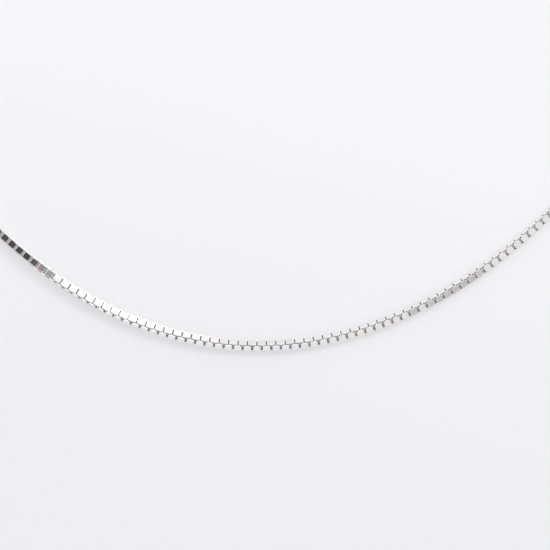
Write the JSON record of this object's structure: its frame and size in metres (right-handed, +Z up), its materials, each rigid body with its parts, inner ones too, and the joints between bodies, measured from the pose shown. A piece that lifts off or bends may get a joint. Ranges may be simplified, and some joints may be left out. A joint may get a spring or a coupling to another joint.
{
  "type": "box chain necklace",
  "caption": "Fine box chain necklace, fastened and laid flat as a closed loop, with a plain spring ring clasp and a jump ring.",
  "frame": {"origin": "middle of the loop's bounding box, on the surface that the necklace lies on", "axes": "+Z up from the surface, +Y from the front of the loop to the clasp, +X to the right of the picture"},
  "size_m": [0.1218, 0.1663, 0.0019],
  "materials": {
    "chain_metal": "polished white metal",
    "clasp_metal": "polished white metal",
    "ring_metal": "polished white metal"
  },
  "bodies": {
    "root": {"chain": "chain_metal", "clasp": "clasp_metal", "jump_ring": "ring_metal"}
  },
  "joints": []
}
